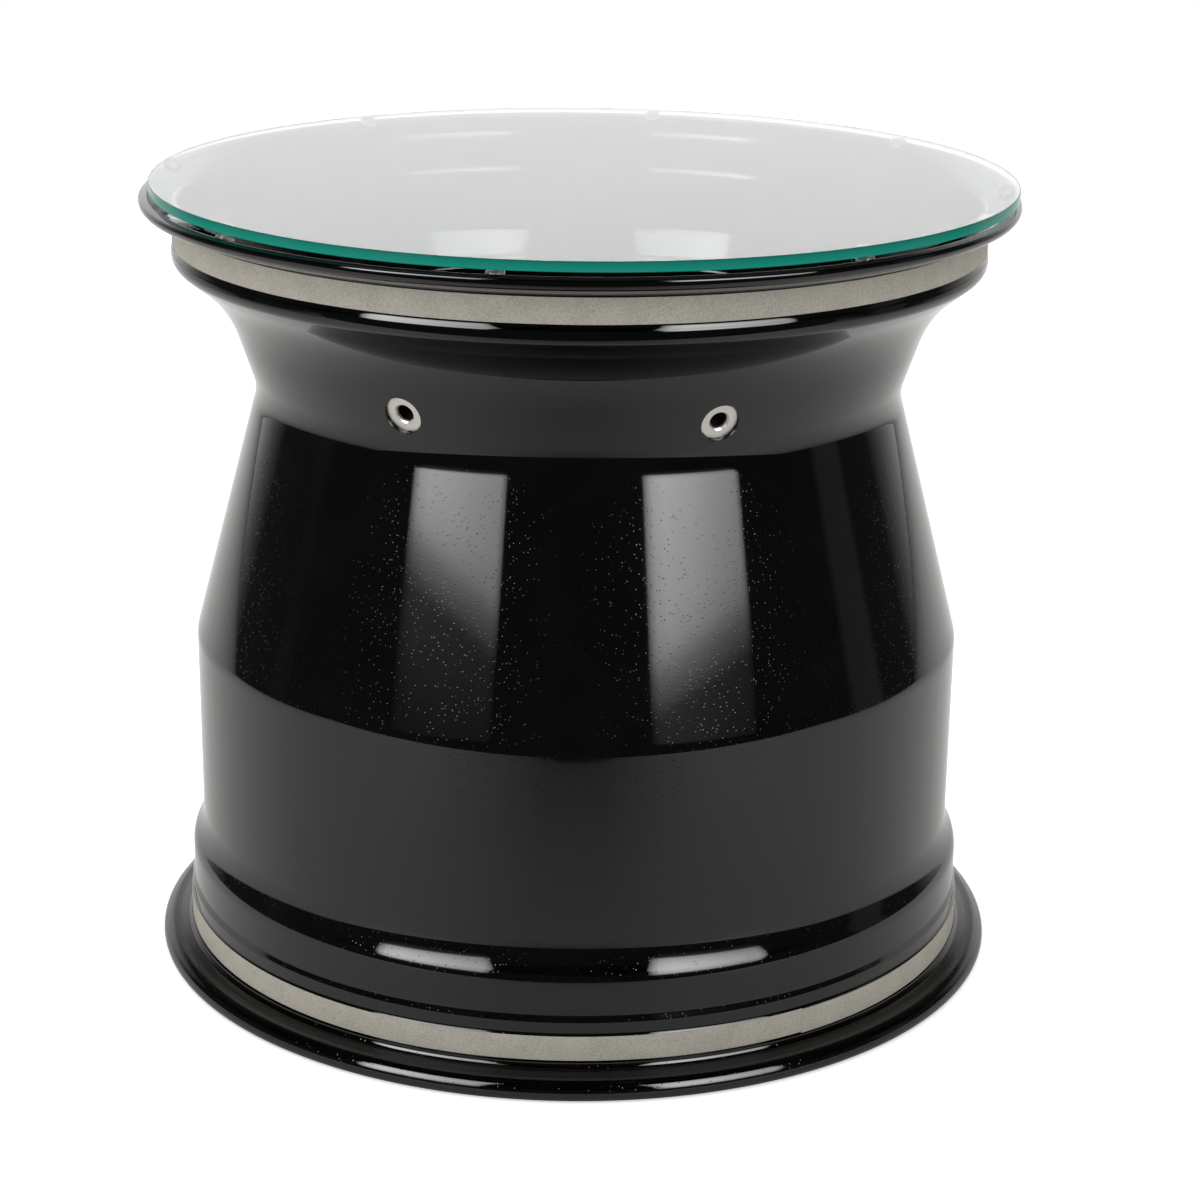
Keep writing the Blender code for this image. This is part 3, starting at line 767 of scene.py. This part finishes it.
def bare_valve_faces(mesh, places):
    """Gives the spot faces and the holes' mouths bare metal and coordinates about their axis."""
    layer = mesh.uv_layers.new(name="valve_face")
    mouth = -VALVE_FACE_SINK - VALVE_CHAMFER - VALVE_BARE_DEPTH
    inverses = [place.inverted() for place in places]
    for polygon in mesh.polygons:
        for inverse in inverses:
            centre = inverse @ polygon.center
            from_axis = math.hypot(centre.x, centre.y)
            on_face = abs(centre.z + VALVE_FACE_SINK) < TOUCH and from_axis < VALVE_FACE_RADIUS
            in_mouth = mouth < centre.z < -VALVE_FACE_SINK and from_axis < VALVE_FACE_RADIUS
            if not (on_face or in_mouth):
                continue
            polygon.material_index = 1
            for loop in polygon.loop_indices:
                corner = inverse @ mesh.vertices[mesh.loops[loop].vertex_index].co
                layer.data[loop].uv = (corner.x / VALVE_FACE_RADIUS, corner.y / VALVE_FACE_RADIUS)


def build_rim(paint, alloy):
    outline = rounded(rim_outer_corners() + rim_inner_corners())
    rim = add_object("rim_shell", lathe_mesh("rim_shell", outline, RIM_SEGMENTS), paint)
    places = valve_places()
    plug_mesh = lathe_mesh("valve_plug", valve_outline(), SMALL_SEGMENTS, closed=False)
    cutters = []
    for index, place in enumerate(places):
        plug = add_object(f"valve_plug_{index + 1}", plug_mesh)
        plug.matrix_world = place
        cutters.append(plug)
    carve(rim, cutters)
    rim.data.materials.clear()
    rim.data.materials.append(paint)
    rim.data.materials.append(alloy)
    bare_valve_faces(rim.data, places)
    dress(rim, "wheel", "rim_barrel")


def build_band(name, edges, radius, seam, drift, finish, node):
    """A strip wound once round its bead seat, drifting sideways so that its ends don't quite line up."""
    low, high = edges
    inner = GROOVE_RADIUS + TOUCH
    outline = rounded([
        (radius, high, BAND_EDGE_ROUND),
        (radius, low, BAND_EDGE_ROUND),
        (inner, low, 0),
        (inner, high, 0),
    ])
    middle = (low + high) / 2
    half_gap = BAND_SEAM_GAP / 2 / SEAT_RADIUS
    start = math.radians(seam) + half_gap
    sweep = 2 * math.pi - 2 * half_gap
    form = bmesh.new()
    rings = []
    for step in range(RIM_SEGMENTS + 1):
        share = step / RIM_SEGMENTS
        angle = start + sweep * share
        shift = drift * (share - 0.5)
        wave = noise.noise(Vector((BAND_WANDER_WAVES * share, BAND_WANDER_SEED, seam)))
        ring = []
        for point in outline:
            wander = BAND_WANDER * wave if point.y < middle else 0.0
            ring.append(form.verts.new(around(angle, point.x, point.y + shift + wander)))
        rings.append(ring)
    count = len(outline)
    for one, two in zip(rings, rings[1:]):
        for index in range(count):
            following = (index + 1) % count
            form.faces.new((one[index], one[following], two[following], two[index]))
    form.faces.new(rings[0])
    form.faces.new(rings[-1])
    band = add_object(name, mesh_from(form, name), finish)
    dress(band, "wheel", node)


def centre_corners():
    """The turned blank of the centre: foot ring, dished web, hub and the pocket of the nut seat."""
    foot_top = NECK_HEIGHT + FOOT_HEIGHT / 2
    foot_bottom = NECK_HEIGHT - FOOT_HEIGHT / 2
    pocket_floor = HUB_TOP - NUT_SEAT_DEPTH - TOUCH
    return [
        (FOOT_RADIUS, foot_top, EDGE_ROUND),
        (FOOT_RADIUS, foot_bottom, EDGE_ROUND),
        (FOOT_INNER_RADIUS, foot_bottom, WEB_ROUND),
        (HUB_RADIUS, HUB_BOTTOM + WEB_UNDERCUT, HUB_ROUND),
        (HUB_RADIUS, HUB_BOTTOM, HUB_ROUND),
        (BORE_RADIUS, HUB_BOTTOM, EDGE_ROUND),
        (BORE_RADIUS, pocket_floor, 0),
        (NUT_POCKET_RADIUS, pocket_floor, 0),
        (NUT_POCKET_RADIUS, HUB_TOP, 0),
        (HUB_RADIUS, HUB_TOP, HUB_ROUND),
        (HUB_RADIUS + WEB_STEP, HUB_TOP - WEB_STEP, 0),
        (FOOT_INNER_RADIUS, foot_top - WEB_STEP, WEB_ROUND),
        (FOOT_INNER_RADIUS + WEB_STEP, foot_top, 0),
    ]


def window_outline():
    """One gap between two spokes, centred on +X, whose outer edge lies clear of the blank."""
    half = PITCH / 2
    inner = HUB_RADIUS + WINDOW_MARGIN
    outer = FOOT_RADIUS / math.cos(half)
    corners = []
    for side, radius, rounding in (
        (-1, outer, 0),
        (1, outer, 0),
        (1, inner, WINDOW_ROUND),
        (-1, inner, WINDOW_ROUND),
    ):
        beside_spoke = half - math.asin(SPOKE_WIDTH / 2 / radius)
        point = around(side * beside_spoke, radius, 0)
        corners.append((point.x, point.y, rounding))
    return rounded(corners)


def prism_mesh(name, outline, thickness):
    """A flat outline extruded evenly to both sides of z = 0."""
    form = bmesh.new()
    upper = [form.verts.new((point.x, point.y, thickness / 2)) for point in outline]
    lower = [form.verts.new((point.x, point.y, -thickness / 2)) for point in outline]
    form.faces.new(upper)
    form.faces.new(lower[::-1])
    for index in range(len(outline)):
        following = (index + 1) % len(outline)
        form.faces.new((upper[index], lower[index], lower[following], upper[following]))
    return mesh_from(form, name)


def build_centre(paint):
    blank = lathe_mesh("spoked_centre", rounded(centre_corners()), RIM_SEGMENTS)
    centre = add_object("spoked_centre", blank, paint)
    cut_length = 4 * HUB_THICKNESS
    drill_outline = [
        (0.0, cut_length / 2),
        (BUSH_HOLE_RADIUS, cut_length / 2),
        (BUSH_HOLE_RADIUS, -cut_length / 2),
        (0.0, -cut_length / 2),
    ]
    window_mesh = prism_mesh("window", window_outline(), cut_length)
    drill_mesh = lathe_mesh("drill", drill_outline, SMALL_SEGMENTS, closed=False)
    cutters = []
    for index in range(SPOKES):
        spoke = math.radians(FIRST_SPOKE_ANGLE) + index * PITCH
        window = add_object(f"window_{index + 1}", window_mesh)
        window.location.z = HUB_TOP
        window.rotation_euler.z = spoke + PITCH / 2
        drill = add_object(f"drill_{index + 1}", drill_mesh)
        drill.location = around(spoke, DRIVE_CIRCLE_RADIUS, HUB_TOP)
        cutters.extend((window, drill))
    carve(centre, cutters)
    dress(centre, "wheel", "wheel_centre")


def build_hub_pieces(steel):
    seat_bottom = HUB_TOP - NUT_SEAT_DEPTH
    outer = NUT_POCKET_RADIUS - TOUCH
    seat_outline = rounded([
        (outer, HUB_TOP, STEEL_EDGE),
        (outer, seat_bottom, STEEL_EDGE),
        (BORE_RADIUS, seat_bottom, STEEL_EDGE),
        (outer - NUT_SEAT_LIP, HUB_TOP, STEEL_EDGE),
    ])
    seat = add_object("nut_seat", lathe_mesh("nut_seat", seat_outline, RIM_SEGMENTS), steel)
    dress(seat, "wheel", "nut_seat_ring")
    bush_outline = rounded([
        (BUSH_RADIUS, HUB_TOP - BUSH_RECESS, STEEL_EDGE),
        (BUSH_RADIUS, HUB_BOTTOM + BUSH_RECESS, STEEL_EDGE),
        (BUSH_BORE_RADIUS, HUB_BOTTOM + BUSH_RECESS, STEEL_EDGE),
        (BUSH_BORE_RADIUS, HUB_TOP - BUSH_RECESS, STEEL_EDGE),
    ])
    mesh = lathe_mesh("bush", bush_outline, SMALL_SEGMENTS)
    mesh.materials.append(steel)
    for index in range(SPOKES):
        spoke = math.radians(FIRST_SPOKE_ANGLE) + index * PITCH
        bush = add_object(f"bush_{index + 1}", mesh)
        bush.location = around(spoke, DRIVE_CIRCLE_RADIUS, 0.0)
        dress(bush, "wheel", f"drive_bush_{index + 1}")


def build_pads(silicone):
    """Clear domes under the glass, whose soft feet follow the slope inside the flange's crest."""
    top = GLASS_BOTTOM - TOUCH
    outline = [Vector((0.0, top))]
    for step in range(PAD_DOME_STEPS + 1):
        angle = math.pi / 2 * (1 - step / PAD_DOME_STEPS)
        reach = PAD_TOP_RADIUS + (PAD_RADIUS - PAD_TOP_RADIUS) * math.cos(angle)
        outline.append(Vector((reach, HEIGHT + (top - HEIGHT) * math.sin(angle))))
    for step in range(1, PAD_FOOT_STEPS + 1):
        outline.append(Vector((PAD_RADIUS * (1 - step / PAD_FOOT_STEPS), HEIGHT)))
    mesh = lathe_mesh("pad", outline, SMALL_SEGMENTS, closed=False)
    slope = UPPER_MOUTH_DEPTH / (FLANGE_RADIUS - UPPER_CREST_INSET - SEAT_RADIUS + RIM_WALL)
    for vertex in mesh.vertices:
        if vertex.co.z < HEIGHT + TOUCH:
            down_slope = max(0.0, PAD_INSET - UPPER_CREST_INSET - vertex.co.x)
            vertex.co.z += TOUCH - slope * down_slope
    mesh.materials.append(silicone)
    for index, angle in enumerate(PAD_ANGLES):
        pad = add_object(f"pad_{index + 1}", mesh)
        pad.location = around(math.radians(angle), FLANGE_RADIUS - PAD_INSET, 0.0)
        pad.rotation_euler.z = math.radians(angle)
        dress(pad, "wheel", f"bumper_pad_{index + 1}")


def build_glass(clear, edge):
    """The plate with a flat polished edge between two narrow arrises."""
    outline = [
        (0.0, GLASS_TOP),
        (GLASS_RADIUS - GLASS_ARRIS, GLASS_TOP),
        (GLASS_RADIUS, GLASS_TOP - GLASS_ARRIS),
        (GLASS_RADIUS, GLASS_BOTTOM + GLASS_ARRIS),
        (GLASS_RADIUS - GLASS_ARRIS, GLASS_BOTTOM),
        (0.0, GLASS_BOTTOM),
    ]
    mesh = lathe_mesh("glass_plate", outline, RIM_SEGMENTS, closed=False)
    plate = add_object("glass_plate", mesh, clear)
    mesh.materials.append(edge)
    for polygon in mesh.polygons:
        if abs(polygon.normal.z) < GLASS_FLAT_NORMAL:
            polygon.material_index = 1
    plate.location.x = GLASS_SHIFT
    dress(plate, "glass", "glass_top")


def paper():
    """White paper with painted shade that dims it towards its sides and a painted shadow in front of the
    table; it is clear from below.

    A glow that only the camera sees turns it pure white.
    """
    made, tree, shader = new_material("white_paper")
    parts = tree.nodes.new("ShaderNodeSeparateXYZ")
    tree.links.new(object_coordinates(tree), parts.inputs["Vector"])
    aside = tree.nodes.new("ShaderNodeMath")
    aside.operation = "ABSOLUTE"
    tree.links.new(parts.outputs["X"], aside.inputs[0])
    distance = aside.outputs["Value"]
    # Painted shade: the paper's colour falls off towards its sides, where less light reaches it.
    share = map_range(tree, distance, (PAPER_WHITE_HALF_WIDTH, PAPER_HALF_WIDTH), (0.0, 1.0))
    colour = colour_ramp(
        tree,
        share,
        (0.0, grey(0.89)),
        (0.4, grey(0.76)),
        (0.8, grey(0.48)),
        (1.0, grey(0.2)),
    )
    # Painted shadow of the table on the paper in front of it.
    in_middle = map_range(tree, distance, (PAPER_SHADE_INNER, PAPER_SHADE_OUTER), (1.0, 0.0))
    in_front = map_range(tree, parts.outputs["Y"], (PAPER_FRONT, PAPER_SHADE_BACK), (1.0, 0.0))
    painted_table_shadow = map_range(tree, multiply(tree, in_middle, in_front), (0.0, 1.0), (1.0, PAPER_SHADE))
    tree.links.new(multiply(tree, colour, painted_table_shadow), shader.inputs["Base Color"])
    shader.inputs["Roughness"].default_value = 0.7
    shader.inputs["Specular IOR Level"].default_value = 0.2
    shader.inputs["Emission Color"].default_value = (1.0, 1.0, 1.0, 1.0)
    path = tree.nodes.new("ShaderNodeLightPath")
    glow = map_range(tree, share, (0.0, 1.0), (PAPER_GLOW, 1.0))
    strength = multiply(tree, path.outputs["Is Camera Ray"], glow)
    tree.links.new(strength, shader.inputs["Emission Strength"])
    face = tree.nodes.new("ShaderNodeNewGeometry")
    clear = tree.nodes.new("ShaderNodeBsdfTransparent")
    one_sided = tree.nodes.new("ShaderNodeMixShader")
    tree.links.new(face.outputs["Backfacing"], one_sided.inputs["Fac"])
    tree.links.new(shader.outputs["BSDF"], one_sided.inputs[1])
    tree.links.new(clear.outputs["BSDF"], one_sided.inputs[2])
    output = tree.nodes["Material Output"]
    tree.links.new(one_sided.outputs["Shader"], output.inputs["Surface"])
    return made


def build_floor():
    form = bmesh.new()
    corners = [
        (-PAPER_HALF_WIDTH, PAPER_FRONT, 0.0),
        (PAPER_HALF_WIDTH, PAPER_FRONT, 0.0),
        (PAPER_HALF_WIDTH, PAPER_BACK, 0.0),
        (-PAPER_HALF_WIDTH, PAPER_BACK, 0.0),
    ]
    form.faces.new([form.verts.new(corner) for corner in corners])
    floor = add_object("floor", mesh_from(form, "floor"), paper())
    floor.location.z = -TOUCH


def soft_light(strength):
    """White light, strongest above the middle and near the left, fading at the sides and below."""
    made = bpy.data.materials.new("soft_light")
    made.use_nodes = True
    tree = made.node_tree
    tree.nodes.clear()
    place = tree.nodes.new("ShaderNodeUVMap")
    place.uv_map = "panel"
    parts = tree.nodes.new("ShaderNodeSeparateXYZ")
    tree.links.new(place.outputs["UV"], parts.inputs["Vector"])
    upwards = colour_ramp(
        tree,
        parts.outputs["Y"],
        (0.0, grey(0.002)),
        (0.08, grey(0.01)),
        (0.175, grey(0.035)),
        (0.205, grey(0.2)),
        (0.225, grey(0.42)),
        (0.25, grey(0.53)),
        (0.36, grey(0.72)),
        (0.57, grey(0.95)),
        (0.75, grey(0.85)),
        (1.0, grey(0.6)),
    )
    sideways = colour_ramp(
        tree,
        parts.outputs["X"],
        (0.0, grey(0.1)),
        (0.03, grey(0.45)),
        (0.09, grey(0.85)),
        (0.2, grey(1.0)),
        (0.45, grey(0.89)),
        (0.65, grey(0.74)),
        (0.93, grey(0.57)),
        (0.98, grey(0.3)),
        (1.0, grey(0.03)),
    )
    light = tree.nodes.new("ShaderNodeEmission")
    light.inputs["Strength"].default_value = strength
    tree.links.new(multiply(tree, upwards, sideways), light.inputs["Color"])
    output = tree.nodes.new("ShaderNodeOutputMaterial")
    tree.links.new(light.outputs["Emission"], output.inputs["Surface"])
    return made


def build_soft_box(name, azimuth, height, roll, strength):
    """A glowing panel that the paint mirrors. Azimuth is from the front, positive to the right."""
    rows = []
    for step in range(SOFT_BOX_ROWS + 1):
        share = step / SOFT_BOX_ROWS
        along = SOFT_BOX_BOTTOM + (SOFT_BOX_TOP - SOFT_BOX_BOTTOM) * share
        above = along - SOFT_BOX_BOTTOM
        inner = SOFT_BOX_INNER_HALF - SOFT_BOX_INNER_SLANT * above
        outer = SOFT_BOX_OUTER_HALF + SOFT_BOX_OUTER_SLANT * above
        left, right = (outer, inner) if azimuth < 0 else (inner, outer)
        rows.append(((-left, along, 0.0), (right, along, 0.0), share))
    form = bmesh.new()
    layer = form.loops.layers.uv.new("panel")
    pairs = [(form.verts.new(left), form.verts.new(right), share) for left, right, share in rows]
    for lower, upper in zip(pairs, pairs[1:]):
        face = form.faces.new((lower[0], lower[1], upper[1], upper[0]))
        shares = (lower[2], lower[2], upper[2], upper[2])
        for loop, across, share in zip(face.loops, (0.0, 1.0, 1.0, 0.0), shares):
            loop[layer].uv = (across, share)
    panel = add_object(name, mesh_from(form, name), soft_light(strength))
    turn = Matrix.Rotation(math.radians(azimuth), 4, "Z")
    lean = Matrix.Rotation(math.pi / 2 - math.radians(SOFT_BOX_LEAN), 4, "X")
    spin = Matrix.Rotation(math.radians(roll), 4, "Z")
    place = turn @ Vector((0.0, -SOFT_BOX_DISTANCE, height))
    panel.matrix_world = Matrix.Translation(place) @ turn @ lean @ spin
    panel.visible_camera = False
    panel.visible_diffuse = False


def build_world():
    """White for the camera and through clear pieces, and plain light for matt surfaces.

    Mirrored rays see a dark room with a pale backdrop behind the table and a dim slit at each side.
    """
    world = bpy.data.worlds.new("studio")
    bpy.context.scene.world = world
    world.use_nodes = True
    tree = world.node_tree
    tree.nodes.clear()
    place = tree.nodes.new("ShaderNodeTexCoord")
    compass = tree.nodes.new("ShaderNodeTexGradient")
    compass.gradient_type = "RADIAL"
    tree.links.new(place.outputs["Generated"], compass.inputs["Vector"])
    dark = grey(ROOM_DARK)
    walls = colour_ramp(
        tree,
        compass.outputs["Fac"],
        (0.0, dark),
        (0.49, dark),
        (0.495, grey(0.17)),
        (0.525, grey(0.17)),
        (0.53, dark),
        (0.575, dark),
        (0.6, grey(0.35)),
        (0.64, grey(0.9)),
        (0.7, grey(ROOM_BACKDROP)),
        (0.8, grey(ROOM_BACKDROP)),
        (0.86, grey(0.9)),
        (0.89, grey(0.35)),
        (0.915, dark),
        (0.972, dark),
        (0.976, grey(0.07)),
        (0.99, grey(0.07)),
        (0.994, dark),
    )
    parts = tree.nodes.new("ShaderNodeSeparateXYZ")
    tree.links.new(place.outputs["Generated"], parts.inputs["Vector"])
    below_ceiling = map_range(tree, parts.outputs["Z"], (CEILING_LOW, CEILING_HIGH), (1.0, ROOM_DARK))
    room = tree.nodes.new("ShaderNodeBackground")
    tree.links.new(multiply(tree, walls, below_ceiling), room.inputs["Color"])
    plain = tree.nodes.new("ShaderNodeBackground")
    plain.inputs["Color"].default_value = LIGHT_COLOUR
    towards = tree.nodes.new("ShaderNodeVectorMath")
    towards.operation = "DOT_PRODUCT"
    towards.inputs[1].default_value = BRIGHT_SIDE
    tree.links.new(place.outputs["Generated"], towards.inputs[0])
    strength = map_range(tree, towards.outputs["Value"], (-1.0, 1.0), (DIM_LIGHT, BRIGHT_LIGHT))
    tree.links.new(strength, plain.inputs["Strength"])
    white = tree.nodes.new("ShaderNodeBackground")
    white.inputs["Color"].default_value = (1.0, 1.0, 1.0, 1.0)
    path = tree.nodes.new("ShaderNodeLightPath")
    mirrored = tree.nodes.new("ShaderNodeMixShader")
    tree.links.new(path.outputs["Is Glossy Ray"], mirrored.inputs["Fac"])
    tree.links.new(plain.outputs["Background"], mirrored.inputs[1])
    tree.links.new(room.outputs["Background"], mirrored.inputs[2])
    seen = tree.nodes.new("ShaderNodeMath")
    seen.operation = "MAXIMUM"
    tree.links.new(path.outputs["Is Camera Ray"], seen.inputs[0])
    unmirrored = map_range(tree, path.outputs["Glossy Depth"], (0.0, 1.0), (1.0, 0.0))
    through = multiply(tree, path.outputs["Is Transmission Ray"], unmirrored)
    tree.links.new(through, seen.inputs[1])
    choice = tree.nodes.new("ShaderNodeMixShader")
    tree.links.new(seen.outputs["Value"], choice.inputs["Fac"])
    tree.links.new(mirrored.outputs["Shader"], choice.inputs[1])
    tree.links.new(white.outputs["Background"], choice.inputs[2])
    output = tree.nodes.new("ShaderNodeOutputWorld")
    tree.links.new(choice.outputs["Shader"], output.inputs["Surface"])


def build_camera():
    pan = CAMERA_PAN
    pitch = CAMERA_PITCH
    level = math.cos(pitch)
    forward = Vector((math.sin(pan) * level, math.cos(pan) * level, -math.sin(pitch)))
    right = Vector((math.cos(pan), -math.sin(pan), 0.0))
    up = right.cross(forward)
    rolled_right = right * math.cos(CAMERA_ROLL) + up * math.sin(CAMERA_ROLL)
    rolled_up = up * math.cos(CAMERA_ROLL) - right * math.sin(CAMERA_ROLL)
    lens = bpy.data.cameras.new("camera")
    lens.sensor_fit = "HORIZONTAL"
    lens.sensor_width = CAMERA_SENSOR
    lens.lens = CAMERA_LENS
    camera = bpy.data.objects.new("camera", lens)
    bpy.context.scene.collection.objects.link(camera)
    turn = Matrix((rolled_right, rolled_up, -forward)).transposed().to_4x4()
    camera.matrix_world = Matrix.Translation(CAMERA_PLACE) @ turn
    bpy.context.scene.camera = camera


def main():
    paint = black_paint()
    steel = turned_steel()
    sand = grit()
    build_rim(paint, bare_alloy())
    build_centre(paint)
    build_hub_pieces(steel)
    build_band(
        "upper_strip",
        edges=(UPPER_BAND_TOP - UPPER_BAND_WIDTH, UPPER_BAND_TOP),
        radius=SEAT_RADIUS - UPPER_BAND_SINK,
        seam=UPPER_BAND_SEAM,
        drift=UPPER_BAND_DRIFT,
        finish=sand,
        node="upper_grip_band",
    )
    build_band(
        "lower_strip",
        edges=(LOWER_BAND_INSET, LOWER_BAND_INSET + LOWER_BAND_WIDTH),
        radius=SEAT_RADIUS,
        seam=LOWER_BAND_SEAM,
        drift=LOWER_BAND_DRIFT,
        finish=sand,
        node="lower_grip_band",
    )
    build_pads(clear_silicone())
    build_glass(clear_glass(), glass_edge())
    build_floor()
    build_soft_box(
        "soft_box_left",
        azimuth=LEFT_BOX_AZIMUTH,
        height=LEFT_BOX_HEIGHT,
        roll=LEFT_BOX_ROLL,
        strength=LEFT_BOX_STRENGTH,
    )
    build_soft_box(
        "soft_box_right",
        azimuth=RIGHT_BOX_AZIMUTH,
        height=RIGHT_BOX_HEIGHT,
        roll=RIGHT_BOX_ROLL,
        strength=RIGHT_BOX_STRENGTH,
    )
    build_world()
    build_camera()
    bpy.context.scene.view_settings.view_transform = "Standard"


main()
